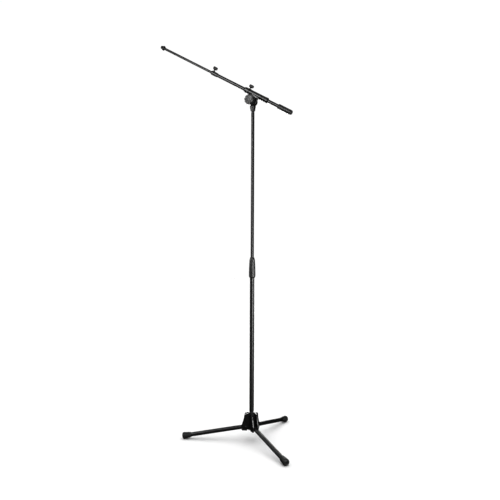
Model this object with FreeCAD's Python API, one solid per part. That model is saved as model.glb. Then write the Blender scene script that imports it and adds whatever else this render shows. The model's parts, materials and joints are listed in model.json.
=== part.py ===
import FreeCAD, Part
import math
import os

from FreeCAD import Placement, Rotation, Vector

# Boom microphone stand: a folding tripod base, a telescopic column, a friction swivel
# and a telescopic boom with a threaded end for a microphone clip.
#
# Millimetres. The column's axis is Z, the floor is z = 0, and the boom lies in the XZ
# plane: it rises towards -X, and the swivel's knob faces -Y.

# ---------------------------------------------------------------- driving dimensions
FIT_GAP = 0.02          # radial gap where a piece is pressed into or onto another
RUN_GAP = 0.06          # radial gap of a running fit
FREE_GAP = 0.3          # gap between pieces that pass without touching

# Tripod
LEG_AZIMUTHS = (198.6, 78.6, -41.4)
LEG_SLOPE = 9.95        # degrees that an open leg falls below level
LEG_PIN_RADIUS_AT = 27.0
LEG_PIN_Z = 68.5
LEG_LENGTH = 316.0      # from the pin to the end of the foot cap
LEG_TUBE_R = 10.0
LEG_TUBE_WALL = 1.2
LEG_TUBE_START = 12.0
LEG_EYE_R = 8.0
LEG_PIN_R = 3.0
FOOT_R = 16.0
FOOT_LENGTH = 42.0
FOOT_END = 9.0          # rubber beyond the end of the leg's tube

HUB_TOP = 139.0
HUB_BOTTOM = 52.0
HUB_CORE_R = 16.5
HUB_CORE_BOTTOM = 64.0
HUB_NECK_R = 18.0
LOBE_WIDTH = 33.0
SLOT_WIDTH = 21.0
SLOT_INNER_R = 16.7
CLAMP_DISC_R = 26.0
CLAMP_DISC_TOP = LEG_PIN_Z - LEG_EYE_R - FREE_GAP
CLAMP_DISC_BOTTOM = CLAMP_DISC_TOP - 5.0
M8_R = 4.0

# Column
LOWER_TUBE_R = 11.0
LOWER_TUBE_WALL = 1.5
LOWER_TUBE_BOTTOM = 95.0
LOWER_TUBE_TOP = 838.0
UPPER_TUBE_R = 8.0
UPPER_TUBE_WALL = 1.2
UPPER_TUBE_BOTTOM = 772.0
UPPER_TUBE_TOP = 1618.0
GRIP_BOTTOM = 792.0
GRIP_TOP = 892.0
GRIP_R = 15.8

# Swivel
PIVOT_Z = 1649.0
TILT = 30.0             # degrees that the boom rises above level
SOCKET_BOTTOM = 1601.0
DISC_R = 20.0
DISC_FACE = 1.5         # each swivel disc's inner face, from the column's axis
BASE_DISC_THICKNESS = 12.7
SOCKET_R = DISC_FACE + BASE_DISC_THICKNESS
HOLDER_DISC_THICKNESS = 9.0
KNOB_R = 24.5
KNOB_FACE = 54.0        # the knob's outer face, from the column's axis

# Boom, along its own axis from the point nearest the pivot, positive towards the tip
BOOM_OFFSET = 36.0      # from the pivot up to the boom's axis
SLEEVE_FRONT = 71.0
SLEEVE_REAR = -68.0
OUTER_TUBE_R = 8.0
OUTER_TUBE_WALL = 1.3
OUTER_TUBE_FRONT = 253.0
OUTER_TUBE_REAR = -203.0
INNER_TUBE_R = 6.0
INNER_TUBE_WALL = 1.0
INNER_TUBE_REAR = 190.0
INNER_TUBE_FRONT = 598.0
RING_FRONT = 281.0
RING_REAR = 241.0
REAR_GRIP_FRONT = -131.0
REAR_GRIP_END = -210.0
REAR_GRIP_R = 11.7
STUD_R = 7.94           # 5/8 inch microphone thread
STUD_END = 618.0
FLANGE_R = 11.8
FLANGE_THICKNESS = 8.0
THREE_EIGHTHS_R = 4.76  # 3/8 inch thread
SLEEVE_SCREW_AT = 44.0
RING_SCREW_AT = 270.0
SCREW_R = 3.0
SCREW_HEAD_R = 10.8
SCREW_HEAD_AT = 17.0    # the screw head's underside, from the boom's axis
SCREW_HEAD_HEIGHT = 16.0

ORIGIN = Vector(0, 0, 0)
X = Vector(1, 0, 0)
Y = Vector(0, 1, 0)
Z = Vector(0, 0, 1)

PIVOT = Vector(0, 0, PIVOT_Z)
# The boom's own frame: X towards the tip, Y towards the knob, Z up through the screws.
BOOM_FRAME = Placement(PIVOT, Rotation(Y, TILT)).multiply(Placement(ORIGIN, Rotation(Z, 180)))
BOOM_AXIS_POINT = Vector(0, 0, BOOM_OFFSET)


# ---------------------------------------------------------------------------- helpers
def save(name, *solids):
    """Write one piece, or a group of equal pieces, to its STEP file."""
    shape = solids[0] if len(solids) == 1 else Part.makeCompound(solids)
    shape.exportStep(f"parts/{name}.step")


def outline(points):
    """Closed wire in the XZ plane. A point is (x, z), or (x, z, mid_x, mid_z) for an arc that ends there."""
    corners = [Vector(p[0], 0, p[1]) for p in points]
    edges = []
    for i, point in enumerate(points):
        start, end = corners[i - 1], corners[i]
        if len(point) == 4:
            edges.append(Part.Arc(start, Vector(point[2], 0, point[3]), end).toShape())
        else:
            edges.append(Part.makeLine(start, end))
    return Part.Wire(edges)


def dome(radius, base, top):
    """Middle of the arc between (radius, base) and a spherical dome's top on the axis."""
    rise = top - base
    ball_r = (radius ** 2 + rise ** 2) / (2 * rise)
    half_angle = math.asin(radius / abs(ball_r)) / 2
    return abs(ball_r) * math.sin(half_angle), top - ball_r * (1 - math.cos(half_angle))


def turned(points, at=ORIGIN, axis=Z):
    """Solid of revolution from an outline of (radius, height), its height along axis from at."""
    solid = Part.Face(outline(points)).revolve(ORIGIN, Z, 360)
    return solid.transformed(Placement(at, Rotation(Z, axis)).toMatrix())


def tube(r_out, r_in, low, high, at=ORIGIN, axis=Z):
    """Straight tube from low to high along axis."""
    return turned([(r_in, low), (r_out, low), (r_out, high), (r_in, high)], at, axis)


def rod(radius, low, high, at=ORIGIN, axis=Z):
    """Straight round bar from low to high along axis."""
    return Part.makeCylinder(radius, high - low, at + axis * low, axis)


def block(x, y, z):
    """Box between pairs of limits."""
    return Part.makeBox(x[1] - x[0], y[1] - y[0], z[1] - z[0], Vector(x[0], y[0], z[0]))


def hexagon(across_flats, low, high, at=ORIGIN, axis=Z):
    """Hexagonal prism from low to high along axis."""
    corner_r = across_flats / math.sqrt(3)
    corners = [Vector(corner_r * math.cos(a), corner_r * math.sin(a), low)
               for a in (math.radians(60 * i) for i in range(7))]
    prism = Part.Face(Part.makePolygon(corners)).extrude(Z * (high - low))
    return prism.transformed(Placement(at, Rotation(Z, axis)).toMatrix())


def around(count, cutter, at=ORIGIN, axis=Z):
    """Copies of a cutter, evenly spaced about an axis, as one compound."""
    copies = []
    for i in range(count):
        copy = cutter.copy()
        copy.rotate(at, axis, 360 / count * i)
        copies.append(copy)
    return Part.makeCompound(copies)


def in_boom_frame(solid):
    """Move a solid from the boom's own frame to its place on the stand."""
    return solid.transformed(BOOM_FRAME.toMatrix())


def leg_frame(azimuth):
    """A leg's own frame: origin at its pin, X along the pin, Z outwards along the leg."""
    to_pin = Placement(Vector(LEG_PIN_RADIUS_AT, 0, LEG_PIN_Z), Rotation(Y, 90 + LEG_SLOPE))
    upright = Placement(ORIGIN, Rotation(Z, 90))
    return Placement(ORIGIN, Rotation(Z, azimuth)).multiply(to_pin).multiply(upright)


# ----------------------------------------------------------------------- tripod base
def hub():
    """Cast hub: a core for the column and three pairs of cheeks that hold the legs."""
    floor = HUB_CORE_BOTTOM
    neck = [(0, floor), (HUB_CORE_R, floor), (HUB_CORE_R, HUB_TOP - 18),
            (HUB_NECK_R, HUB_TOP - 13), (HUB_NECK_R, HUB_TOP - 2),
            (HUB_NECK_R - 2, HUB_TOP, HUB_NECK_R - 0.6, HUB_TOP - 0.6), (0, HUB_TOP)]
    solid = turned(neck)
    # A cheek's side: a low shoulder, a steep drop and a flare down to the leg.
    shoulder = HUB_TOP - 8
    side = [(0, HUB_BOTTOM), (43, HUB_BOTTOM), (47.5, HUB_BOTTOM + 5, 46.2, HUB_BOTTOM + 1.5),
            (47.5, HUB_BOTTOM + 24), (37, shoulder - 22, 41.2, shoulder - 37), (34.5, shoulder - 5),
            (31, shoulder), (HUB_NECK_R - 1, shoulder + 3), (0, shoulder + 3)]
    lobe = Part.Face(outline(side)).extrude(Y * LOBE_WIDTH)
    lobe.translate(Y * (-LOBE_WIDTH / 2))
    rims = [e for e in lobe.Edges
            if e.BoundBox.YLength < 1 and e.BoundBox.XMin > HUB_NECK_R and e.BoundBox.ZMax > HUB_BOTTOM + 1]
    lobe = lobe.makeFillet(2.5, rims)
    slot = block((SLOT_INNER_R, 60), (-SLOT_WIDTH / 2, SLOT_WIDTH / 2), (HUB_BOTTOM - 10, HUB_TOP + 10))
    hole = rod(LEG_PIN_R + FIT_GAP, -30, 30, Vector(LEG_PIN_RADIUS_AT, 0, LEG_PIN_Z), Y)
    turned_lobes = [lobe.rotated(ORIGIN, Z, azimuth) for azimuth in LEG_AZIMUTHS]
    lobes = turned_lobes[0].multiFuse(turned_lobes[1:]).removeSplitter()
    corner_r = LOBE_WIDTH / 2 / math.sin(math.radians(60))
    corners = [e for e in lobes.Edges
               if e.BoundBox.ZLength > 40 and math.hypot(e.BoundBox.Center.x, e.BoundBox.Center.y) < corner_r + 0.5]
    solid = solid.fuse(lobes.makeFillet(9.0, corners))
    for azimuth in LEG_AZIMUTHS:
        solid = solid.cut(slot.fuse(hole).rotated(ORIGIN, Z, azimuth))
    solid = solid.cut(rod(CLAMP_DISC_R + FREE_GAP, 0, CLAMP_DISC_TOP + FREE_GAP))
    solid = solid.cut(rod(LOWER_TUBE_R + FIT_GAP, LOWER_TUBE_BOTTOM, HUB_TOP + 1))
    return solid.cut(rod(M8_R + FREE_GAP, 0, LOWER_TUBE_BOTTOM + 1)).removeSplitter()


def leg_pin(azimuth):
    """Rivet across one pair of cheeks, with a domed head at each end."""
    half, head_r, rise = LOBE_WIDTH / 2, LEG_PIN_R + 1.8, 1.6
    profile = [(0, -half - rise), (head_r, -half, *dome(head_r, -half, -half - rise)), (LEG_PIN_R, -half),
               (LEG_PIN_R, half), (head_r, half), (0, half + rise, *dome(head_r, half, half + rise))]
    pin = turned(profile, Vector(LEG_PIN_RADIUS_AT, 0, LEG_PIN_Z), Y)
    return pin.rotated(ORIGIN, Z, azimuth)


def leg_root():
    """Casting in a leg's inner end, with the eye that turns on the pin, in the leg's own frame."""
    width = SLOT_WIDTH - 2 * FREE_GAP
    eye = rod(LEG_EYE_R, -width / 2, width / 2, ORIGIN, X)
    neck = block((-width / 2 + 0.4, width / 2 - 0.4), (-LEG_EYE_R + 0.5, LEG_EYE_R - 0.5), (0, LEG_TUBE_START))
    shank = rod(LEG_TUBE_R - LEG_TUBE_WALL - FIT_GAP, LEG_TUBE_START - 2, LEG_TUBE_START + 30)
    return eye.fuse(neck).fuse(shank).cut(rod(LEG_PIN_R + RUN_GAP, -20, 20, ORIGIN, X)).removeSplitter()


def leg_tube():
    """Steel tube of a leg, in the leg's own frame."""
    return tube(LEG_TUBE_R, LEG_TUBE_R - LEG_TUBE_WALL, LEG_TUBE_START, LEG_LENGTH - FOOT_END)


def foot_cap():
    """Rubber cap with a ribbed mouth, in the leg's own frame; the floor flattens it later."""
    start, end, edge = LEG_LENGTH - FOOT_LENGTH, LEG_LENGTH, 4.0
    bore_r = LEG_TUBE_R + FIT_GAP
    profile = [(bore_r, start), (FOOT_R - 2.2, start), (FOOT_R - 1.2, start + 1, FOOT_R - 1.5, start + 0.3),
               (FOOT_R - 1.2, start + 5), (FOOT_R, start + 7), (FOOT_R, end - edge),
               (FOOT_R - edge, end, FOOT_R - 0.29 * edge, end - 0.29 * edge), (0, end),
               (0, end - FOOT_END), (bore_r, end - FOOT_END)]
    return turned(profile)


def lower_tube_plug():
    """Threaded plug pressed into the bottom of the column, which the hub bolt pulls down."""
    radius = LOWER_TUBE_R - LOWER_TUBE_WALL - FIT_GAP
    return tube(radius, M8_R + RUN_GAP, LOWER_TUBE_BOTTOM, LOWER_TUBE_BOTTOM + 25)


def leg_clamp_disc():
    """Dished disc that grips the three leg eyes from below."""
    inner = M8_R + FREE_GAP
    return turned([(inner, CLAMP_DISC_BOTTOM), (13, CLAMP_DISC_BOTTOM), (CLAMP_DISC_R - 2, CLAMP_DISC_TOP - 3),
                   (CLAMP_DISC_R, CLAMP_DISC_TOP - 1.5), (CLAMP_DISC_R, CLAMP_DISC_TOP), (inner, CLAMP_DISC_TOP)])


def hub_bolt():
    """Hexagon bolt up through the disc and the hub into the plug."""
    head_top = CLAMP_DISC_BOTTOM - FREE_GAP / 3
    head = hexagon(13, head_top - 5.5, head_top)
    cone = turned([(0, head_top - 5.5), (5.8, head_top - 5.5), (8.5, head_top - 4), (8.5, head_top), (0, head_top)])
    return head.common(cone).fuse(rod(M8_R, head_top - 1, LOWER_TUBE_BOTTOM + 20)).removeSplitter()


def write_tripod():
    """Hub, legs, feet and the parts that lock them."""
    save("hub", hub())
    save("leg_pins", *[leg_pin(azimuth) for azimuth in LEG_AZIMUTHS])
    save("lower_tube_plug", lower_tube_plug())
    save("leg_clamp_disc", leg_clamp_disc())
    save("hub_bolt", hub_bolt())
    above_floor = block((-500, 500), (-500, 500), (0, 300))
    for number, azimuth in enumerate(LEG_AZIMUTHS, 1):
        place = leg_frame(azimuth).toMatrix()
        save(f"leg_root_{number}", leg_root().transformed(place))
        save(f"leg_tube_{number}", leg_tube().transformed(place))
        save(f"foot_cap_{number}", foot_cap().transformed(place).common(above_floor))


# ---------------------------------------------------------------------------- column
THREAD_R = 12.6
CAVITY_R = THREAD_R + FREE_GAP
CAVITY_CONE = (LOWER_TUBE_TOP + 1, GRIP_TOP - 8)
CAVITY_TOP_R = 9.2


def thread_sleeve():
    """Threaded sleeve on the top end of the lower tube, which the height grip screws onto."""
    top = LOWER_TUBE_TOP + 3.5
    lip_r = UPPER_TUBE_R + 2 * FREE_GAP
    bore_r = LOWER_TUBE_R + FIT_GAP
    return turned([(bore_r, LOWER_TUBE_TOP - 30), (THREAD_R, LOWER_TUBE_TOP - 30), (THREAD_R, LOWER_TUBE_TOP - 1),
                   (THREAD_R - 2, top), (lip_r, top), (lip_r, LOWER_TUBE_TOP), (bore_r, LOWER_TUBE_TOP)])


def height_collet():
    """Split cone that the grip squeezes onto the upper tube."""
    low, high = LOWER_TUBE_TOP + 4.5, GRIP_TOP - 10
    bore_r = UPPER_TUBE_R + RUN_GAP
    cone = turned([(bore_r, low), (12.2, low), (8.95, high), (bore_r, high)])
    return cone.cut(block((0, 20), (-0.7, 0.7), (low - 1, high + 1)))


def height_grip():
    """Tapered hand grip of the height clutch, with finger flutes."""
    low, high = GRIP_BOTTOM, GRIP_TOP
    lip_r = LOWER_TUBE_R + FREE_GAP
    neck_r = UPPER_TUBE_R + FREE_GAP
    body = turned([(lip_r, low), (13.0, low), (GRIP_R, low + 6, 15.2, low + 2), (GRIP_R, low + 26),
                   (13.4, high - 13, 15.1, low + 60), (9.6, high, 12.4, high - 3.5), (neck_r, high),
                   (neck_r, CAVITY_CONE[1]), (CAVITY_TOP_R, CAVITY_CONE[1]), (CAVITY_R, CAVITY_CONE[0]),
                   (CAVITY_R, low + 7), (lip_r, low + 7)])
    flute = rod(5.0, -43, 60, Vector(GRIP_R + 4.1, 0, (low + high) / 2), Vector(-0.03, 0, 1).normalize())
    return body.cut(around(8, flute)).removeSplitter()


def mast_guide_bush():
    """Plastic bush at the foot of the upper tube, which slides in the lower tube."""
    outer = LOWER_TUBE_R - LOWER_TUBE_WALL - RUN_GAP
    low = UPPER_TUBE_BOTTOM + 2
    return tube(outer, UPPER_TUBE_R + RUN_GAP, low, low + 30)


def upper_tube_stop():
    """Flanged plug in the foot of the upper tube, which keeps the bush on."""
    inner = UPPER_TUBE_R - UPPER_TUBE_WALL - FIT_GAP
    low = UPPER_TUBE_BOTTOM
    return turned([(0, low - 4), (8.6, low - 4), (9.1, low - 3.5), (9.1, low), (inner, low), (inner, low + 18),
                   (0, low + 18)])


def upper_tube_insert():
    """Plug in the top of the upper tube with the threaded stud that holds the swivel."""
    inner = UPPER_TUBE_R - UPPER_TUBE_WALL - FIT_GAP
    top = UPPER_TUBE_TOP
    return turned([(0, top - 28), (inner, top - 28), (inner, top), (THREE_EIGHTHS_R, top),
                   (THREE_EIGHTHS_R, top + 6), (0, top + 6)])


def write_column():
    """Lower tube, height clutch and upper tube."""
    save("lower_tube", tube(LOWER_TUBE_R, LOWER_TUBE_R - LOWER_TUBE_WALL, LOWER_TUBE_BOTTOM, LOWER_TUBE_TOP))
    save("thread_sleeve", thread_sleeve())
    save("height_collet", height_collet())
    save("height_grip", height_grip())
    save("mast_guide_bush", mast_guide_bush())
    save("upper_tube", tube(UPPER_TUBE_R, UPPER_TUBE_R - UPPER_TUBE_WALL, UPPER_TUBE_BOTTOM, UPPER_TUBE_TOP))
    save("upper_tube_stop", upper_tube_stop())
    save("upper_tube_insert", upper_tube_insert())


# ---------------------------------------------------------------------------- swivel
def swivel_base():
    """Socket on the column's top with an upright friction disc on its +Y side."""
    shoulder = PIVOT_Z - DISC_R - FREE_GAP * 4
    low = SOCKET_BOTTOM
    socket = turned([(0, low), (10.2, low), (10.8, low + 0.8), (11.2, low + 5), (SOCKET_R, shoulder - 4),
                     (SOCKET_R, shoulder - 1), (SOCKET_R - 1, shoulder, SOCKET_R - 0.3, shoulder - 0.3),
                     (0, shoulder)])
    y = (DISC_FACE, SOCKET_R)
    disc = turned([(0, y[0]), (DISC_R, y[0]), (DISC_R, y[1] - 1.5),
                   (DISC_R - 1.5, y[1], DISC_R - 0.45, y[1] - 0.45), (0, y[1])], PIVOT, Y)
    neck = rod(SOCKET_R, shoulder - 3, PIVOT_Z - 8).common(block((-20, 20), y, (low, PIVOT_Z)))
    solid = socket.fuse(disc).fuse(neck)
    solid = solid.cut(rod(UPPER_TUBE_R + FIT_GAP, low - 1, UPPER_TUBE_TOP))
    solid = solid.cut(rod(THREE_EIGHTHS_R + FIT_GAP, UPPER_TUBE_TOP - 1, UPPER_TUBE_TOP + 7))
    return solid.cut(rod(M8_R + FIT_GAP, -30, 30, PIVOT, Y)).removeSplitter()


def friction_disc():
    """Fibre disc fixed to the base's disc; the boom holder rubs on it."""
    return tube(DISC_R - 1.5, M8_R + FREE_GAP, -DISC_FACE + FREE_GAP, DISC_FACE, PIVOT, Y)


def clutch_bolt():
    """Cup-head bolt through both discs, its thread towards the knob."""
    back = SOCKET_R
    profile = [(0, -48), (M8_R - 1, -48), (M8_R, -47), (M8_R, back), (9, back), (9, back + 1),
               (0, back + 5, *dome(9, back + 1, back + 5))]
    return turned(profile, PIVOT, Y)


HOLDER_FACE = DISC_FACE + HOLDER_DISC_THICKNESS
WASHER_TOP = HOLDER_FACE + FREE_GAP + 2.0
KNOB_NECK = WASHER_TOP + FREE_GAP / 3


def clutch_washer():
    """Thrust washer under the knob."""
    return tube(12, M8_R + FREE_GAP, HOLDER_FACE + FREE_GAP, WASHER_TOP, PIVOT, -Y)


def clutch_knob():
    """Fluted hand knob with a dished face, over its threaded insert."""
    skirt = KNOB_FACE - 30
    body = turned([(0, KNOB_NECK), (12.5, KNOB_NECK), (13.5, skirt - 2), (20.5, skirt),
                   (KNOB_R, skirt + 2, KNOB_R - 0.5, skirt + 0.6), (KNOB_R, KNOB_FACE - 3.5),
                   (KNOB_R - 3.5, KNOB_FACE, KNOB_R - 1.0, KNOB_FACE - 1.0), (16.5, KNOB_FACE),
                   (0, KNOB_FACE - 1.6, *dome(16.5, KNOB_FACE, KNOB_FACE - 1.6))], PIVOT, -Y)
    flute = rod(6.0, skirt - 3, KNOB_FACE + 3, PIVOT + X * (KNOB_R + 4.6), -Y)
    body = body.cut(around(10, flute, PIVOT, Y))
    insert_space = rod(7 + FIT_GAP, KNOB_NECK - 1, KNOB_NECK + 18, PIVOT, -Y)
    bolt_space = rod(M8_R + FREE_GAP, KNOB_NECK - 1, 50, PIVOT, -Y)
    return body.cut(insert_space).cut(bolt_space).removeSplitter()


def knob_insert():
    """Threaded metal insert moulded into the knob."""
    return tube(7, M8_R + RUN_GAP, KNOB_NECK, KNOB_NECK + 18, PIVOT, -Y)


def write_swivel():
    """Base, discs, bolt and knob of the boom's tilt clutch."""
    save("swivel_base", swivel_base())
    save("friction_disc", friction_disc())
    save("clutch_bolt", clutch_bolt())
    save("clutch_washer", clutch_washer())
    save("clutch_knob", clutch_knob())
    save("knob_insert", knob_insert())


# ------------------------------------------------------------------------------ boom
LINER_R = OUTER_TUBE_R + 1.4
PAD_R = 3.6
PAD_THICKNESS = 1.6
PAD_TRAVEL = 2.0


def screw_space(at, tube_r):
    """What a clamping screw needs cut out of the piece that carries it."""
    point = BOOM_AXIS_POINT + X * at
    pad_space = rod(PAD_R + FREE_GAP, tube_r - 2, tube_r + FREE_GAP + PAD_THICKNESS + PAD_TRAVEL + FREE_GAP, point)
    return pad_space.fuse(rod(SCREW_R + RUN_GAP, 0, 30, point))


def clamp_pad(at, tube_r):
    """Pressure pad between a clamping screw and the tube it holds."""
    low = tube_r + FREE_GAP
    return rod(PAD_R, low, low + PAD_THICKNESS, BOOM_AXIS_POINT + X * at)


def screw_shank(at, tube_r):
    """Threaded shank of a clamping screw."""
    low = tube_r + FREE_GAP + PAD_THICKNESS + FREE_GAP / 3
    return rod(SCREW_R, low, SCREW_HEAD_AT + 8, BOOM_AXIS_POINT + X * at)


def screw_head(at):
    """Lobed head of a clamping screw, for finger and thumb."""
    low, high, r = SCREW_HEAD_AT, SCREW_HEAD_AT + SCREW_HEAD_HEIGHT, SCREW_HEAD_R
    point = BOOM_AXIS_POINT + X * at
    body = turned([(0, low), (4.6, low), (5.2, low + 3), (r - 1.5, low + 3.6), (r, low + 5, r - 0.4, low + 4.1),
                   (r, high - 2.5), (r - 2.5, high, r - 0.75, high - 0.75), (0, high)], point)
    flute = rod(4.2, low + 3, high + 1, point + X * (r + 2.4))
    body = body.cut(around(6, flute, point))
    return body.cut(rod(SCREW_R + FIT_GAP, low - 1, low + 8, point)).removeSplitter()


def holder_plate():
    """Upright plate of the boom holder, round below where it is the swivel's second disc."""
    r, top = DISC_R, BOOM_OFFSET
    side = outline([(-r, top), (-r, 0), (r, 0, 0, -r), (r, top)])
    plate = Part.Face(side).extrude(Y * HOLDER_DISC_THICKNESS)
    plate.translate(Y * DISC_FACE)
    rim = [e for e in plate.Edges if e.BoundBox.YMin > HOLDER_FACE - 0.01 and e.BoundBox.ZMin < top - 1]
    return plate.makeFillet(1.5, rim)


def boom_holder():
    """T-piece: the swivel's second disc and its web, and the sleeve that carries the boom."""
    front, rear = SLEEVE_FRONT, SLEEVE_REAR
    sleeve = turned([(0, rear), (11.6, rear), (12.9, rear + 1.6), (12.9, rear + 14), (12.3, rear + 16),
                     (12.3, front - 32), (12.9, front - 28, 12.5, front - 31), (12.9, front - 9),
                     (9.9, front, 12.1, front - 3.6), (0, front)], BOOM_AXIS_POINT, X)
    solid = holder_plate().fuse(sleeve)
    roots = [e for e in solid.Edges
             if abs(e.BoundBox.Center.x) <= DISC_R and e.BoundBox.XLength <= 2 * DISC_R + 0.1
             and e.BoundBox.ZMin > BOOM_OFFSET - 12 and e.BoundBox.ZMax < BOOM_OFFSET - 1
             and e.BoundBox.YMax > DISC_FACE + 0.1]
    solid = solid.makeFillet(3.0, roots)
    solid = solid.fuse(rod(6.2, 0, 14.2, BOOM_AXIS_POINT + X * SLEEVE_SCREW_AT))
    solid = solid.cut(rod(LINER_R + FIT_GAP, rear - 1, front + 1, BOOM_AXIS_POINT, X))
    solid = solid.cut(rod(M8_R + RUN_GAP, -1, 20, ORIGIN, Y))
    return solid.cut(screw_space(SLEEVE_SCREW_AT, OUTER_TUBE_R)).removeSplitter()


def sleeve_liner(low, high):
    """Plastic ring in one end of the sleeve, which the boom slides in."""
    return tube(LINER_R, OUTER_TUBE_R + RUN_GAP, low, high, BOOM_AXIS_POINT, X)


def clamp_ring():
    """Tapered ring on the outer tube's front end, with the screw that holds the inner tube."""
    front, rear = RING_FRONT, RING_REAR
    ring = turned([(0, rear), (9.0, rear), (9.6, rear + 1.2), (10.3, rear + 16), (10.3, front - 8),
                   (7.4, front, 9.6, front - 3.0), (0, front)], BOOM_AXIS_POINT, X)
    boss = rod(5.6, 0, 12.6, BOOM_AXIS_POINT + X * RING_SCREW_AT)
    solid = ring.fuse(boss)
    solid = solid.cut(rod(OUTER_TUBE_R + FIT_GAP, rear - 1, OUTER_TUBE_FRONT, BOOM_AXIS_POINT, X))
    solid = solid.cut(rod(INNER_TUBE_R + RUN_GAP, rear, front + 1, BOOM_AXIS_POINT, X))
    return solid.cut(screw_space(RING_SCREW_AT, INNER_TUBE_R)).removeSplitter()


def rear_grip():
    """Soft sleeve with a rounded end over the boom's rear."""
    front, end, r = REAR_GRIP_FRONT, REAR_GRIP_END, REAR_GRIP_R
    bore_r, round_r = OUTER_TUBE_R + FIT_GAP, 6.0
    return turned([(bore_r, front), (r - 2, front), (r, front - 2, r - 0.6, front - 0.6), (r, end + round_r),
                   (r - round_r, end, r - 0.29 * round_r, end + 0.29 * round_r), (0, end),
                   (0, OUTER_TUBE_REAR), (bore_r, OUTER_TUBE_REAR)], BOOM_AXIS_POINT, X)


def inner_guide_bush():
    """Plastic ring at the rear of the inner tube, which slides in the outer tube."""
    outer = OUTER_TUBE_R - OUTER_TUBE_WALL - RUN_GAP
    low = INNER_TUBE_REAR + 1
    return tube(outer, INNER_TUBE_R + RUN_GAP, low, low + 20, BOOM_AXIS_POINT, X)


def inner_tube_stop():
    """Flanged plug in the rear of the inner tube, which keeps its bush on."""
    inner = INNER_TUBE_R - INNER_TUBE_WALL - FIT_GAP
    low = INNER_TUBE_REAR
    return turned([(0, low - 3), (6.4, low - 3), (6.4, low), (inner, low), (inner, low + 12), (0, low + 12)],
                  BOOM_AXIS_POINT, X)


def tip_insert():
    """Plug in the boom's tip with the threaded stud that the adapter screws onto."""
    inner = INNER_TUBE_R - INNER_TUBE_WALL - FIT_GAP
    tip = INNER_TUBE_FRONT
    return turned([(0, tip - 25), (inner, tip - 25), (inner, tip), (THREE_EIGHTHS_R, tip),
                   (THREE_EIGHTHS_R, tip + 11), (0, tip + 11)], BOOM_AXIS_POINT, X)


def thread_adapter():
    """Flanged adapter with the outer thread that takes a microphone clip."""
    flange = INNER_TUBE_FRONT
    stud = flange + FLANGE_THICKNESS
    solid = turned([(0, flange), (9.4, flange), (FLANGE_R, flange + 3), (FLANGE_R, stud - 0.6),
                    (FLANGE_R - 0.6, stud), (STUD_R, stud), (STUD_R, STUD_END - 0.8), (STUD_R - 0.8, STUD_END),
                    (0, STUD_END)], BOOM_AXIS_POINT, X)
    return solid.cut(rod(THREE_EIGHTHS_R + FIT_GAP, flange - 1, STUD_END + 1, BOOM_AXIS_POINT, X))


def write_boom():
    """T-piece, both boom tubes and everything on them."""
    outer_inner_r = OUTER_TUBE_R - OUTER_TUBE_WALL
    inner_inner_r = INNER_TUBE_R - INNER_TUBE_WALL
    pieces = {
        "boom_holder": [boom_holder()],
        "sleeve_liners": [sleeve_liner(SLEEVE_REAR + 1, SLEEVE_REAR + 21),
                          sleeve_liner(SLEEVE_FRONT - 21, SLEEVE_FRONT - 1)],
        "boom_pad": [clamp_pad(SLEEVE_SCREW_AT, OUTER_TUBE_R)],
        "boom_screw_shank": [screw_shank(SLEEVE_SCREW_AT, OUTER_TUBE_R)],
        "boom_screw_head": [screw_head(SLEEVE_SCREW_AT)],
        "boom_outer_tube": [tube(OUTER_TUBE_R, outer_inner_r, OUTER_TUBE_REAR, OUTER_TUBE_FRONT,
                                 BOOM_AXIS_POINT, X)],
        "boom_clamp_ring": [clamp_ring()],
        "rear_grip": [rear_grip()],
        "extension_pad": [clamp_pad(RING_SCREW_AT, INNER_TUBE_R)],
        "extension_screw_shank": [screw_shank(RING_SCREW_AT, INNER_TUBE_R)],
        "extension_screw_head": [screw_head(RING_SCREW_AT)],
        "inner_guide_bush": [inner_guide_bush()],
        "boom_inner_tube": [tube(INNER_TUBE_R, inner_inner_r, INNER_TUBE_REAR, INNER_TUBE_FRONT,
                                 BOOM_AXIS_POINT, X)],
        "inner_tube_stop": [inner_tube_stop()],
        "tip_insert": [tip_insert()],
        "thread_adapter": [thread_adapter()],
    }
    for name, solids in pieces.items():
        save(name, *[in_boom_frame(solid) for solid in solids])


os.makedirs("parts", exist_ok=True)
write_tripod()
write_column()
write_swivel()
write_boom()
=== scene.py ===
import json
import math

import bmesh
import bpy
from mathutils import Matrix, Vector

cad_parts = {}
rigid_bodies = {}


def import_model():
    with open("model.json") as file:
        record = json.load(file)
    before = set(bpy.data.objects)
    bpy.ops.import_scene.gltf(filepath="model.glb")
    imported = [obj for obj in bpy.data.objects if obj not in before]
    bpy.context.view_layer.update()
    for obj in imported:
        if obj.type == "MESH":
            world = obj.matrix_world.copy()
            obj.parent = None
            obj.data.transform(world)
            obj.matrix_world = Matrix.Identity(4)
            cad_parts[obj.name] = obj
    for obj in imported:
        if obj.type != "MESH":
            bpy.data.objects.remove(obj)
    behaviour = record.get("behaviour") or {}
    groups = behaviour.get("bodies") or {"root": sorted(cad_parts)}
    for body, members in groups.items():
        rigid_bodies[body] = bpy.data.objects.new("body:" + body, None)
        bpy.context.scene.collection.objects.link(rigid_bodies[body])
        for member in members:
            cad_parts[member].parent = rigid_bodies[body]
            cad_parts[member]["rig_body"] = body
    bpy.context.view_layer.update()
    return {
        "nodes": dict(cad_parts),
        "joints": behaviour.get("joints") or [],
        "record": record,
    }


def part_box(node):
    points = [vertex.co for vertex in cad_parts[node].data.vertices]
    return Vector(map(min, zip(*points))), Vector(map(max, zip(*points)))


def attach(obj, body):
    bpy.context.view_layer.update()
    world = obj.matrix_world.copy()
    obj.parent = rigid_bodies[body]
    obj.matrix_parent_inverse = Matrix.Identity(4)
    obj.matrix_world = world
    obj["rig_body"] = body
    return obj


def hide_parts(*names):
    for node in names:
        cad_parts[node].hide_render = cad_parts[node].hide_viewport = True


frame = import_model()

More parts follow.
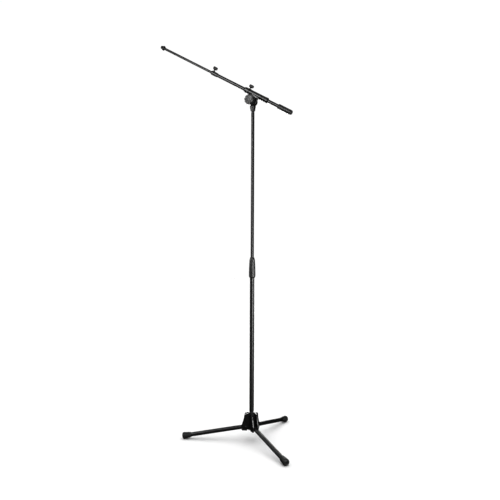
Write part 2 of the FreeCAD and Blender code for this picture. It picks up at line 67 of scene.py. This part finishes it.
# A boom microphone stand. The CAD nodes carry the tubes and the castings; the pieces that a hand or
# the floor touches (knob, grips, screw heads, feet) and the threads are made here in more detail.
# The stand's own frame is in metres: the column is Z, the boom rises towards -X, the knob faces -Y.
# Profiles are in millimetres: (radius, height along the piece's axis, rounding of the corner).

MM = 0.001
NODES = frame["nodes"]
JOINTS = {joint["name"]: joint for joint in frame["joints"]}
SLOTS = {part["node"]: part["material_slot"] for part in frame["record"]["subparts"]}
SCREWS = ("boom_screw", "extension_screw")

CORNER_STEPS = 5          # stretches in each rounded corner of a profile
CREASE_DEGREES = 38       # edges sharper than this stay sharp
THREAD_SEGMENTS = 48      # points round a threaded bar
THREAD_ROWS = 10          # rings in each turn of a thread


# ------------------------------------------------------------------------------ camera
# The camera stands at about half the stand's height, 22 degrees round from the knob's side.
CAMERA_AZIMUTH = math.radians(22)
CAMERA_DISTANCE = 2.5132
CAMERA_HEIGHT = 0.9300
CAMERA_PITCH = -0.00103
CAMERA_ROLL = 0.00408
CAMERA_LENS = 37.139
CAMERA_SHIFT_X = -0.0045


def add_camera():
    """Camera that looks at the column, with a very small pitch and roll."""
    sin_a, cos_a = math.sin(CAMERA_AZIMUTH), math.cos(CAMERA_AZIMUTH)
    ahead = math.cos(CAMERA_PITCH)
    forward = Vector((-sin_a * ahead, cos_a * ahead, math.sin(CAMERA_PITCH)))
    level = Vector((cos_a, sin_a, 0))
    upright = level.cross(forward)
    right = level * math.cos(CAMERA_ROLL) + upright * math.sin(CAMERA_ROLL)
    up = upright * math.cos(CAMERA_ROLL) - level * math.sin(CAMERA_ROLL)
    camera = bpy.data.objects.new("camera", bpy.data.cameras.new("camera"))
    camera.data.lens = CAMERA_LENS
    camera.data.shift_x = CAMERA_SHIFT_X
    camera.matrix_world = Matrix((right, up, -forward)).transposed().to_4x4()
    camera.location = (CAMERA_DISTANCE * sin_a, -CAMERA_DISTANCE * cos_a, CAMERA_HEIGHT)
    bpy.context.scene.collection.objects.link(camera)
    bpy.context.scene.camera = camera


# ------------------------------------------------------------------- lathe and threads
def joint_place(name):
    """A joint's position."""
    return Vector(JOINTS[name]["pos_m"])


def joint_axis(name):
    """A joint's direction."""
    return Vector(JOINTS[name]["axis"])


def reach(node, origin, axis):
    """Where a CAD node starts and ends along an axis, and its largest radius about it, in mm."""
    points = [vertex.co - origin for vertex in NODES[node].data.vertices]
    along = [point.dot(axis) for point in points]
    radius = max((point - axis * height).length for point, height in zip(points, along))
    return min(along) / MM, max(along) / MM, radius / MM


def smooth_step(value, low, high):
    """0 below low, 1 above high, and a smooth rise between."""
    t = min(1.0, max(0.0, (value - low) / (high - low)))
    return t * t * (3 - 2 * t)


def rounded(corners, closed=False):
    """Outline of (radius, height) points with its corners rounded. A corner is (radius, height) or
    (radius, height, rounding)."""
    points, count = [], len(corners)
    for i, corner in enumerate(corners):
        here = Vector(corner[:2])
        if len(corner) == 2 or (not closed and i in (0, count - 1)):
            points.append(here)
            continue
        before = Vector(corners[i - 1][:2]) - here
        after = Vector(corners[(i + 1) % count][:2]) - here
        first = here + before.normalized() * min(corner[2], before.length / 2)
        last = here + after.normalized() * min(corner[2], after.length / 2)
        for step in range(CORNER_STEPS + 1):
            t = step / CORNER_STEPS
            points.append(first * (1 - t) ** 2 + here * 2 * t * (1 - t) + last * t ** 2)
    return points


def split(points, longest):
    """The outline with no stretch longer than longest, so that flutes can shape it."""
    result = [points[0]]
    for start, end in zip(points, points[1:]):
        pieces = max(1, math.ceil((end - start).length / longest))
        result += [start.lerp(end, piece / pieces) for piece in range(1, pieces + 1)]
    return result


def lathe(name, points, origin, axis, shape=None, segments=96, closed=False, start=None):
    """Surface of revolution about axis. points are (radius, height), and shape(radius, height,
    angle) gives each point's own radius and height where the piece isn't round."""
    side = start or axis.orthogonal().normalized()
    place = Matrix((side, axis.cross(side), axis)).transposed()
    mesh = bmesh.new()
    rings = []
    for radius, height in points:
        if radius < 1e-4:
            rings.append([mesh.verts.new(origin + axis * height * MM)])
            continue
        ring = []
        for i in range(segments):
            angle = math.tau * i / segments
            r, h = shape(radius, height, angle) if shape else (radius, height)
            spot = Vector((r * math.cos(angle), r * math.sin(angle), h))
            ring.append(mesh.verts.new(origin + place @ spot * MM))
        rings.append(ring)
    pairs = list(zip(rings, rings[1:])) + ([(rings[-1], rings[0])] if closed else [])
    for low, high in pairs:
        if len(low) == len(high) == 1:
            continue
        for i in range(segments):
            j = (i + 1) % segments
            corners = [low[i % len(low)], low[j % len(low)],
                       high[j % len(high)], high[i % len(high)]]
            mesh.faces.new(dict.fromkeys(corners))
    bmesh.ops.recalc_face_normals(mesh, faces=mesh.faces)
    return finished(name, mesh)


def finished(name, mesh):
    """Object from a bmesh, smooth except at its creases."""
    data = bpy.data.meshes.new(name)
    mesh.to_mesh(data)
    mesh.free()
    data.shade_smooth()
    data.set_sharp_from_angle(angle=math.radians(CREASE_DEGREES))
    piece = bpy.data.objects.new(name, data)
    bpy.context.scene.collection.objects.link(piece)
    return piece


def flutes(count, depth, full_radius, inner_radius, low, high, fade, narrow):
    """Shape for lathe: count flutes between two heights. They fade out over fade at both ends and
    from full_radius in to inner_radius, and a larger narrow makes them narrower."""
    def shape(radius, height, angle):
        valley = (0.5 + 0.5 * math.cos(count * angle)) ** narrow
        ends = smooth_step(height, low, low + fade) * (1 - smooth_step(height, high - fade, high))
        inwards = smooth_step(radius, inner_radius, full_radius)
        return radius - depth * valley * ends * inwards, height
    return shape


def threaded(name, radius, pitch, depth, low, high, origin, axis, bore=0.0):
    """Threaded bar with a real helix and chamfered ends. bore is the radius of the hole in it."""
    count = max(2, round((high - low) / pitch * THREAD_ROWS))
    rows = [(radius, low + (high - low) * i / count) for i in range(count + 1)]
    chamfer, slope = pitch, 0.8

    def shape(r, height, angle):
        if r <= bore:
            return r, height
        turn = (height / pitch - angle / math.tau) % 1.0
        ridge = min(1.0, abs(turn * 2 - 1) * 1.5)
        end = min(height - low, high - height)
        return radius - depth * (1 - ridge) - max(0.0, chamfer - end) * slope, height
    if bore:
        points = rows + [(bore, high), (bore, low)]
    else:
        points = [(0.0, low)] + rows + [(0.0, high)]
    return lathe(name, points, origin, axis, shape, THREAD_SEGMENTS, closed=bore > 0)


# --------------------------------------------------------------------------- materials
class Finish:
    """One material: its Principled shader's constants, and the textures that drive the rest."""

    def __init__(self, name, **constants):
        self.material = bpy.data.materials.new(name)
        self.material.use_nodes = True
        self.tree = self.material.node_tree
        self.shader = self.tree.nodes["Principled BSDF"]
        for socket, value in constants.items():
            self.shader.inputs[socket.replace("_", " ")].default_value = value
        self.place = self.tree.nodes.new("ShaderNodeTexCoord").outputs["Object"]
        self.normal = None

    def link(self, value, socket):
        """A texture's output, or a plain number, into a socket."""
        if isinstance(value, bpy.types.NodeSocket):
            self.tree.links.new(value, socket)
        else:
            socket.default_value = value

    def texture(self, kind, size, stretch=(1, 1, 1)):
        """Texture node whose features are about size metres, longer along a stretched axis."""
        mapping = self.tree.nodes.new("ShaderNodeMapping")
        self.link(self.place, mapping.inputs["Vector"])
        mapping.inputs["Scale"].default_value = [1 / (size * s) for s in stretch]
        node = self.tree.nodes.new(kind)
        self.link(mapping.outputs[0], node.inputs["Vector"])
        node.inputs["Scale"].default_value = 1.0
        return node

    def noise(self, size, detail, stretch=(1, 1, 1)):
        """Noise from 0 to 1."""
        texture = self.texture("ShaderNodeTexNoise", size, stretch)
        texture.inputs["Detail"].default_value = detail
        return texture.outputs["Fac"]

    def cells(self, size):
        """Distance to the middle of the nearest cell, for a pebbled skin."""
        texture = self.texture("ShaderNodeTexVoronoi", size)
        texture.feature = "SMOOTH_F1"
        return texture.outputs["Distance"]

    def height(self, low, high):
        """0 below low and 1 above high, in metres above the floor at rest."""
        axes = self.tree.nodes.new("ShaderNodeSeparateXYZ")
        self.link(self.place, axes.inputs[0])
        return self.spread(axes.outputs["Z"], 0.0, 1.0, low, high)

    def edges(self, radius):
        """1 where an edge is sharper than radius, 0 on flat places."""
        bevel = self.tree.nodes.new("ShaderNodeBevel")
        bevel.samples = 6
        bevel.inputs["Radius"].default_value = radius
        surface = self.tree.nodes.new("ShaderNodeNewGeometry")
        dot = self.tree.nodes.new("ShaderNodeVectorMath")
        dot.operation = "DOT_PRODUCT"
        self.link(bevel.outputs[0], dot.inputs[0])
        self.link(surface.outputs["Normal"], dot.inputs[1])
        return self.spread(dot.outputs["Value"], 1.0, 0.0, 0.80, 0.985)

    def spread(self, value, low, high, start=0.35, end=0.65):
        """The texture between start and end, spread over low to high."""
        node = self.tree.nodes.new("ShaderNodeMapRange")
        self.link(value, node.inputs["Value"])
        sockets = ("From Min", "From Max", "To Min", "To Max")
        for socket, number in zip(sockets, (start, end, low, high)):
            node.inputs[socket].default_value = number
        return node.outputs["Result"]

    def times(self, a, b):
        """Product of two textures."""
        node = self.tree.nodes.new("ShaderNodeMath")
        node.operation = "MULTIPLY"
        self.link(a, node.inputs[0])
        self.link(b, node.inputs[1])
        return node.outputs[0]

    def blend(self, factor, first, second):
        """Mix of two colours, each a grey level, an (r, g, b) or another mix."""
        node = self.tree.nodes.new("ShaderNodeMix")
        node.data_type = "RGBA"
        self.link(factor, node.inputs["Factor"])
        for value, socket in ((first, node.inputs["A"]), (second, node.inputs["B"])):
            if isinstance(value, (int, float)):
                value = (value, value, value)
            self.link((*value, 1.0) if isinstance(value, tuple) else value, socket)
        return node.outputs["Result"]

    def colour(self, value):
        """The base colour's texture."""
        self.link(value, self.shader.inputs["Base Color"])

    def roughness(self, value):
        """The roughness's texture."""
        self.link(value, self.shader.inputs["Roughness"])

    def relief(self, value, height):
        """Adds relief of a height in metres to the surface."""
        bump = self.tree.nodes.new("ShaderNodeBump")
        bump.inputs["Distance"].default_value = height
        self.link(value, bump.inputs["Height"])
        if self.normal:
            self.link(self.normal, bump.inputs["Normal"])
        self.normal = bump.outputs[0]
        self.link(self.normal, self.shader.inputs["Normal"])


def powder_coat():
    """Black powder coat on steel tube: satin gloss over a fine orange peel."""
    coat = Finish("black_powder_coat", Specular_IOR_Level=0.4)
    drift = coat.noise(0.06, 3.0)
    speck = coat.noise(0.0009, 2.0)
    base = coat.blend(coat.spread(drift, 0, 1), 0.004, 0.007)
    coat.colour(coat.blend(coat.spread(speck, 0, 1, 0.66, 0.78), base, 0.014))
    coat.roughness(coat.spread(coat.noise(0.03, 4.0), 0.32, 0.37))
    coat.relief(coat.noise(0.0022, 2.0), 0.000008)
    coat.relief(coat.noise(0.0006, 1.0), 0.000003)
    return coat.material


def satin_casting():
    """Black paint on the die castings of the swivel and the leg roots, thinner on the edges."""
    paint = Finish("satin_black_casting", Specular_IOR_Level=0.4)
    drift = paint.noise(0.012, 4.0)
    patches = paint.spread(paint.noise(0.004, 4.0), 0, 1, 0.48, 0.7)
    worn = paint.times(paint.edges(0.0006), patches)
    base = paint.blend(paint.spread(drift, 0, 1), 0.006, 0.011)
    paint.colour(paint.blend(worn, base, 0.07))
    paint.roughness(paint.spread(paint.noise(0.005, 4.0), 0.28, 0.38))
    paint.relief(paint.noise(0.0012, 3.0), 0.00005)
    paint.relief(paint.noise(0.006, 2.0), 0.00008)
    return paint.material


def cast_hub():
    """Thick glossy paint on the hub's sand casting and its pins."""
    paint = Finish("cast_hub_paint", Specular_IOR_Level=0.35)
    patches = paint.spread(paint.noise(0.006, 4.0), 0, 1, 0.52, 0.72)
    worn = paint.times(paint.edges(0.0008), patches)
    base = paint.blend(paint.spread(paint.noise(0.02, 4.0), 0, 1), 0.003, 0.006)
    paint.colour(paint.blend(worn, base, 0.05))
    paint.roughness(paint.spread(paint.noise(0.008, 4.0), 0.26, 0.38))
    paint.relief(paint.noise(0.0025, 4.0), 0.00016)
    paint.relief(paint.noise(0.011, 2.0), 0.0002)
    return paint.material


def moulded_plastic(name, gloss, dark, light):
    """Black moulded plastic with a fine spark-eroded texture, rubbed smoother on the ridges. Its
    grey runs from dark to light, and the ridges are a little lighter."""
    skin = Finish(name, Specular_IOR_Level=gloss)
    rubbed = skin.edges(0.0012)
    base = skin.blend(skin.spread(skin.noise(0.008, 3.0), 0, 1), dark, light)
    skin.colour(skin.blend(rubbed, base, light + 0.012))
    skin.roughness(skin.spread(rubbed, 0.42, 0.32, 0, 1))
    skin.relief(skin.cells(0.0007), 0.00005)
    skin.relief(skin.noise(0.0004, 2.0), 0.00002)
    return skin.material


def foot_rubber():
    """Black rubber of the feet with a pebbled skin, and dust near the floor."""
    skin = Finish("matt_rubber", Specular_IOR_Level=0.34, Sheen_Weight=0.01, Sheen_Roughness=0.5)
    base = skin.blend(skin.spread(skin.noise(0.01, 4.0), 0, 1), 0.004, 0.007)
    patches = skin.spread(skin.noise(0.0035, 5.0), 0, 1, 0.42, 0.68)
    dust = skin.times(patches, skin.height(0.016, 0.001))
    skin.colour(skin.blend(dust, base, (0.12, 0.115, 0.105)))
    skin.roughness(skin.spread(skin.noise(0.006, 4.0), 0.46, 0.58))
    skin.relief(skin.cells(0.0011), 0.00008)
    return skin.material


def grip_rubber():
    """Closer, smoother rubber of the height grip and the boom's rear grip."""
    skin = Finish("grip_rubber", Specular_IOR_Level=0.45, Sheen_Weight=0.03, Sheen_Roughness=0.45)
    skin.colour(skin.blend(skin.spread(skin.noise(0.012, 4.0), 0, 1), 0.007, 0.012))
    skin.roughness(skin.spread(skin.noise(0.004, 4.0), 0.34, 0.44))
    skin.relief(skin.cells(0.0009), 0.00007)
    return skin.material


def zinc_plate():
    """Zinc-plated steel with drawn marks and clouding in the plating."""
    steel = Finish("zinc_plate", Metallic=1.0)
    cloud = steel.spread(steel.noise(0.004, 4.0), 0, 1)
    steel.colour(steel.blend(cloud, (0.52, 0.53, 0.54), (0.66, 0.655, 0.63)))
    steel.roughness(steel.spread(steel.noise(0.002, 3.0), 0.24, 0.4))
    steel.relief(steel.noise(0.0003, 2.0, (1, 1, 14)), 0.000006)
    return steel.material


def blackened_steel():
    """Blackened steel of the bolts, shanks and adapter, brighter on the threads' crests."""
    steel = Finish("blackened_steel", Metallic=0.85)
    worn = steel.times(steel.edges(0.0003), steel.spread(steel.noise(0.003, 4.0), 0.2, 1))
    base = steel.blend(steel.spread(steel.noise(0.002, 3.0), 0, 1), 0.03, 0.05)
    steel.colour(steel.blend(worn, base, 0.3))
    steel.roughness(steel.spread(steel.noise(0.0015, 3.0), 0.3, 0.44))
    return steel.material


def nylon():
    """Black nylon of the bushes and liners."""
    skin = Finish("black_nylon", Specular_IOR_Level=0.5)
    skin.colour(skin.blend(skin.spread(skin.noise(0.003, 3.0), 0, 1), 0.03, 0.042))
    skin.roughness(skin.spread(skin.noise(0.002, 3.0), 0.4, 0.52))
    return skin.material


def pressed_fibre():
    """Brown friction material with flecks."""
    fibre = Finish("pressed_fibre", Specular_IOR_Level=0.3)
    cloud = fibre.spread(fibre.noise(0.0012, 4.0), 0, 1)
    base = fibre.blend(cloud, (0.07, 0.05, 0.035), (0.14, 0.1, 0.07))
    flecks = fibre.spread(fibre.noise(0.0005, 3.0, (3, 1, 1)), 0, 1, 0.6, 0.7)
    fibre.colour(fibre.blend(flecks, base, 0.3))
    fibre.roughness(fibre.spread(fibre.noise(0.001, 3.0), 0.7, 0.9))
    fibre.relief(fibre.noise(0.0007, 3.0), 0.00006)
    return fibre.material


MATERIALS = {
    "hub_casting": cast_hub(),
    "black_tube": powder_coat(),
    "swivel_casting": satin_casting(),
    "black_plastic": moulded_plastic("moulded_plastic", 0.5, 0.012, 0.018),
    "nylon": nylon(),
    "friction_fibre": pressed_fibre(),
    "rubber": foot_rubber(),
    "zinc_steel": zinc_plate(),
    "thread_black": blackened_steel(),
}
GRIP_RUBBER = grip_rubber()
SCREW_PLASTIC = moulded_plastic("screw_plastic", 0.32, 0.005, 0.008)


def paint_nodes():
    """Each CAD node gets the material of its slot in the record."""
    for node, slot in SLOTS.items():
        data = NODES[node].data
        data.materials.clear()
        data.materials.append(MATERIALS[slot])


def rides_with(piece, node, material=None):
    """The piece rides on a CAD node's body and has its slot's finish."""
    piece.data.materials.append(material or MATERIALS[SLOTS[node]])
    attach(piece, NODES[node]["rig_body"])


def stands_for(piece, node, material=None):
    """The piece rides with a CAD node and replaces it."""
    rides_with(piece, node, material)
    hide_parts(node)


# ---------------------------------------------------------------------- detailed pieces
def add_knob():
    """Clutch knob: ten finger flutes, a rounded rim and a stepped, dished face."""
    pivot, axis = joint_place("boom_tilt"), joint_axis("clutch_washer_slide")
    neck, face, r = reach("clutch_knob", pivot, axis)
    skirt = face - 30
    bolt_r, bolt_end = 4.3, 50.0
    insert_r, insert_end = 7.02, neck + 18.0
    hollow = [(0, bolt_end), (bolt_r, bolt_end), (bolt_r, insert_end), (insert_r, insert_end),
              (insert_r, neck)]
    outside = [(12.3, neck, 0.8), (13.4, skirt - 2.5, 3), (r - 2.2, skirt - 0.2, 2.2),
               (r, skirt + 2.2, 2.2), (r, face - 5, 3), (r - 1.5, face - 1.4, 2.4),
               (r - 4.5, face, 1.6)]
    front = [(16.6, face, 0.7), (16.0, face - 1.1, 0.7), (15.0, face - 1.1, 0.6),
             (14.4, face - 0.5, 0.7), (6.2, face - 1.7, 0.8), (5.6, face - 0.8, 0.5),
             (4.8, face - 0.5, 0.8), (0, face - 0.35)]
    shape = flutes(10, 1.7, full_radius=r - 1.0, inner_radius=17.0, low=skirt - 4, high=face + 4,
                   fade=3.0, narrow=2.4)
    points = split(rounded(hollow + outside + front), 1.6)
    stands_for(lathe("knob_body", points, pivot, axis, shape, segments=160), "clutch_knob")


def add_screw_head(name):
    """Head of a clamping screw: six lobes over a collar, with a dished top."""
    node = f"{name}_head"
    origin, axis = joint_place(f"{name}_turn"), joint_axis(f"{name}_turn")
    low, high, radius = reach(node, origin, axis)
    r = radius + 1.0
    bore, socket = 3.02, 8.0
    corners = [(0, low + socket), (bore, low + socket), (bore, low), (6.4, low, 0.6),
               (7.0, low + 2.2, 1.0), (r - 1.8, low + 2.8, 1.0), (r, low + 4.2, 1.6),
               (r, high - 2.4, 2.2), (r - 2.6, high - 0.2, 1.4), (r - 3.8, high - 0.1, 0.5),
               (r - 4.6, high - 0.9, 0.6), (0, high - 1.3)]
    shape = flutes(6, 1.5, full_radius=r - 0.8, inner_radius=r - 5.5, low=low + 2.0,
                   high=high + 4, fade=1.6, narrow=2.4)
    points = split(rounded(corners), 0.9)
    piece = lathe(f"{name}_knob", points, origin, axis, shape, segments=120)
    stands_for(piece, node, SCREW_PLASTIC)


def add_screw_shank(name):
    """Threaded shank of a clamping screw, M6."""
    node = f"{name}_shank"
    origin, axis = joint_place(f"{name}_turn"), joint_axis(f"{name}_turn")
    low, high, radius = reach(node, origin, axis)
    pitch, depth = 1.0, 0.55
    stands_for(threaded(f"{name}_thread", radius, pitch, depth, low, high, origin, axis), node)


def add_height_grip():
    """Height clutch's grip: eight long flutes, with a plain collar at each end."""
    origin, axis = Vector(), Vector((0, 0, 1))
    low, high, r = reach("height_grip", origin, axis)
    outside = [(11.3, low), (12.6, low, 0.6), (13.2, low + 2.6, 0.8), (r - 0.8, low + 5.0, 1.6),
               (r, low + 9, 4.0), (r, low + 26, 12.0), (14.9, low + 60, 14.0),
               (13.4, high - 13, 4.0), (11.2, high - 5.5, 3.0), (10.6, high - 4.6, 0.6),
               (10.4, high - 1.2, 0.8), (9.4, high, 0.6)]
    hollow = [(8.3, high), (8.3, high - 8), (9.2, high - 8), (12.9, low + 43), (12.9, low + 7),
              (11.3, low + 7)]
    shape = flutes(8, 1.25, full_radius=r - 1.2, inner_radius=9.0, low=low + 5.0, high=high - 8.0,
                   fade=9.0, narrow=1.3)
    points = split(rounded(outside + hollow, closed=True), 2.4)
    piece = lathe("grip_body", points, origin, axis, shape, segments=144, closed=True,
                  start=Vector((1, 0, 0)))
    stands_for(piece, "height_grip", GRIP_RUBBER)


def add_foot(number):
    """Rubber foot: a beaded mouth, a swelling barrel with grip rings and a rounded end that the
    floor flattens."""
    pin = joint_place(f"leg_{number}_fold")
    tube_low, tube_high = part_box(f"leg_tube_{number}")
    axis = ((tube_low + tube_high) / 2 - pin).normalized()
    node = f"foot_cap_{number}"
    low, high, r = reach(node, pin, axis)
    tube_r, tube_end = 10.02, high - 9.0
    mouth_r, swell = r - 3.4, 2.4
    groove, ring_count, ring_pitch, first_ring = 0.7, 4, 4.2, low + 14.5

    def barrel(height):
        """The barrel's radius, which swells from the mouth to the tread."""
        return r - swell * (1 - smooth_step(height, low + 6.0, high - 6.0))
    corners = [(tube_r, low), (mouth_r - 0.8, low, 0.8), (mouth_r, low + 1.0, 0.9),
               (mouth_r, low + 3.6, 0.9), (mouth_r - 0.7, low + 4.4, 0.4),
               (mouth_r - 0.7, low + 5.6, 0.4), (barrel(low + 7.4), low + 7.4, 1.4)]
    for ring in range(ring_count):
        at = first_ring + ring * ring_pitch
        corners += [(barrel(at - 0.9), at - 0.9, 0.3), (barrel(at) - groove, at - 0.5, 0.4),
                    (barrel(at) - groove, at + 0.5, 0.4), (barrel(at + 0.9), at + 0.9, 0.3)]
    corners += [(r, high - 6.5, 2.0), (r - 1.2, high - 2.2, 2.4), (r - 4.6, high - 0.1, 2.4),
                (r - 8.0, high, 0.6), (r - 8.6, high - 0.8, 0.5), (0, high - 0.8), (0, tube_end),
                (tube_r, tube_end)]
    points = split(rounded(corners, closed=True), 2.0)
    piece = lathe(f"foot_{number}", points, pin, axis, closed=True)
    for vertex in piece.data.vertices:
        vertex.co.z = max(vertex.co.z, 0.0)
    stands_for(piece, node)


def add_rear_grip():
    """Rubber sleeve over the boom's rear end: three rings at its mouth and a domed end."""
    origin, axis = joint_place("boom_screw_turn"), joint_axis("boom_slide")
    low, high, r = reach("rear_grip", origin, axis)
    tube_r, tube_end = 8.02, low + 7.0
    groove, ring_count, ring_pitch, first_ring = 0.8, 3, 4.0, high - 14.0
    corners = [(0, low), (5.0, low, 2.0), (r - 1.6, low + 1.8, 3.6), (r, low + 7.0, 4.0),
               (r, low + 20.0, 3.0), (r, high - 16.0, 0.5)]
    for ring in range(ring_count):
        at = first_ring + ring * ring_pitch
        corners += [(r, at - 1.0, 0.3), (r - groove, at - 0.5, 0.4), (r - groove, at + 0.5, 0.4),
                    (r, at + 1.0, 0.3)]
    corners += [(r, high - 1.6, 1.0), (r - 1.8, high, 0.8), (tube_r, high), (tube_r, tube_end),
                (0, tube_end)]
    piece = lathe("boom_rear_grip", split(rounded(corners), 3.0), origin, axis)
    stands_for(piece, "rear_grip", GRIP_RUBBER)


def add_tip():
    """Adapter at the boom's tip: a knurled flange and a 5/8 inch stud with a real thread."""
    node = "thread_adapter"
    origin, axis = joint_place("boom_screw_turn"), joint_axis("boom_slide")
    low, high, r = reach(node, origin, axis)
    shoulder, bore = low + 8.0, 4.78
    stud_r, pitch, depth = 7.94, 0.94, 0.5
    knurls, knurl_depth = 40, 0.35

    def knurl(radius, height, angle):
        """Shape for lathe: fine ridges along the flange's rim."""
        ridge = abs((angle / math.tau * knurls) % 1.0 * 2 - 1)
        return radius - knurl_depth * ridge * smooth_step(radius, r - 0.8, r - 0.1), height
    corners = [(bore, low), (9.4, low, 0.4), (r - 0.5, low + 2.8, 1.0), (r, low + 3.6, 0.4),
               (r, shoulder - 0.9, 0.4), (r - 0.9, shoulder, 0.4), (bore, shoulder)]
    points = split(rounded(corners, closed=True), 0.8)
    flange = lathe("tip_flange", points, origin, axis, knurl, segments=240, closed=True)
    stud = threaded("tip_thread", stud_r, pitch, depth, shoulder, high, origin, axis, bore)
    stands_for(flange, node)
    rides_with(stud, node)


# ------------------------------------------------------------------------ studio
FLOOR_RADIUS = 14
VIEW_GAMMA = 0.85         # deepens the blacks
SURROUND = 1.02           # strength of the white that the camera sees
MATT_ROOM = (0.3, 0.85, 0.12, 2.2)      # what matt surfaces see: see room() for the four values
GLOSS_ROOM = (0.78, 0.98, 0.04, 0.9)    # what gloss reflects
# Soft boxes: place, target, width and height in metres, and radiance. Only gloss shows them.
LIGHTS = {
    "key": ((-1.0, -1.95, 2.15), (0, 0, 1.6), (0.7, 1.0), 21.0),
    "front": ((1.05, -1.95, 1.3), (0, 0, 1.1), (0.7, 1.0), 11.0),
    "strip": ((1.8, -1.3, 0.5), (0, 0, 0.5), (0.75, 1.0), 14.0),
    "side": ((-1.6, -1.6, 1.65), (0, 0, 1.5), (0.5, 0.8), 13.0),
    "low": ((2.1, -0.64, 0.55), (0, 0, 0.2), (0.6, 0.5), 38.0),
    "back": ((-0.9, 2.22, 1.2), (0, 0, 1.0), (0.7, 1.9), 13.0),
    "left": ((-2.2, 0.19, 1.2), (0, 0, 1.0), (0.5, 1.6), 4.0),
    "bounce": ((-0.1, -1.3, 0.01), (-0.1, -1.3, 1.0), (1.6, 0.8), 1.5),
}


def add_floor():
    """Plain pale floor, which gloss doesn't reflect."""
    bpy.ops.mesh.primitive_circle_add(vertices=96, radius=FLOOR_RADIUS, fill_type="NGON")
    floor = bpy.context.object
    floor.name = "floor"
    paper = Finish("pale_floor", Roughness=0.9, Specular_IOR_Level=0.0)
    paper.colour(paper.blend(paper.spread(paper.noise(0.4, 3.0), 0, 1), 0.9, 0.92))
    floor.data.materials.append(paper.material)
    floor.visible_glossy = False


def add_lights():
    """The soft boxes, each turned to face its target."""
    for name, (place, target, size, radiance) in LIGHTS.items():
        lamp = bpy.data.lights.new(name, "AREA")
        lamp.shape = "RECTANGLE"
        lamp.size, lamp.size_y = size
        lamp.energy = radiance * math.pi * size[0] * size[1]
        light = bpy.data.objects.new(name, lamp)
        light.location = place
        facing = (Vector(target) - Vector(place)).to_track_quat("-Z", "Y")
        light.rotation_euler = facing.to_euler()
        light.visible_camera = False
        light.visible_diffuse = False
        bpy.context.scene.collection.objects.link(light)


def add_surround():
    """White for the camera, a room with a bright ceiling for matt surfaces and a dimmer one for
    gloss."""
    scene = bpy.context.scene
    scene.view_settings.view_transform = "Standard"
    scene.view_settings.gamma = VIEW_GAMMA
    scene.world = bpy.data.worlds.new("studio")
    scene.world.use_nodes = True
    tree = scene.world.node_tree
    white = tree.nodes["Background"]
    white.inputs["Color"].default_value = (1, 1, 1, 1)
    white.inputs["Strength"].default_value = SURROUND
    direction = tree.nodes.new("ShaderNodeTexCoord")
    axes = tree.nodes.new("ShaderNodeSeparateXYZ")
    tree.links.new(direction.outputs["Generated"], axes.inputs[0])
    ray = tree.nodes.new("ShaderNodeLightPath")

    def room(low, high, wall, ceiling):
        """Strength wall below an upward direction of low, ceiling above high, smooth between."""
        rise = tree.nodes.new("ShaderNodeMapRange")
        rise.interpolation_type = "SMOOTHSTEP"
        tree.links.new(axes.outputs["Z"], rise.inputs["Value"])
        sockets = ("From Min", "From Max", "To Min", "To Max")
        for socket, value in zip(sockets, (low, high, wall, ceiling)):
            rise.inputs[socket].default_value = value
        shader = tree.nodes.new("ShaderNodeBackground")
        tree.links.new(rise.outputs["Result"], shader.inputs["Strength"])
        return shader.outputs[0]

    def choose(kind, otherwise, shader):
        """The shader for one kind of ray, and otherwise for the rest."""
        mix = tree.nodes.new("ShaderNodeMixShader")
        tree.links.new(ray.outputs[kind], mix.inputs["Fac"])
        tree.links.new(otherwise, mix.inputs[1])
        tree.links.new(shader, mix.inputs[2])
        return mix.outputs[0]
    surround = choose("Is Glossy Ray", room(*MATT_ROOM), room(*GLOSS_ROOM))
    surround = choose("Is Camera Ray", surround, white.outputs[0])
    tree.links.new(surround, tree.nodes["World Output"].inputs["Surface"])


add_camera()
paint_nodes()
add_knob()
for screw in SCREWS:
    add_screw_head(screw)
for screw in SCREWS:
    add_screw_shank(screw)
add_height_grip()
for leg in (1, 2, 3):
    add_foot(leg)
add_rear_grip()
add_tip()
add_floor()
add_surround()
add_lights()
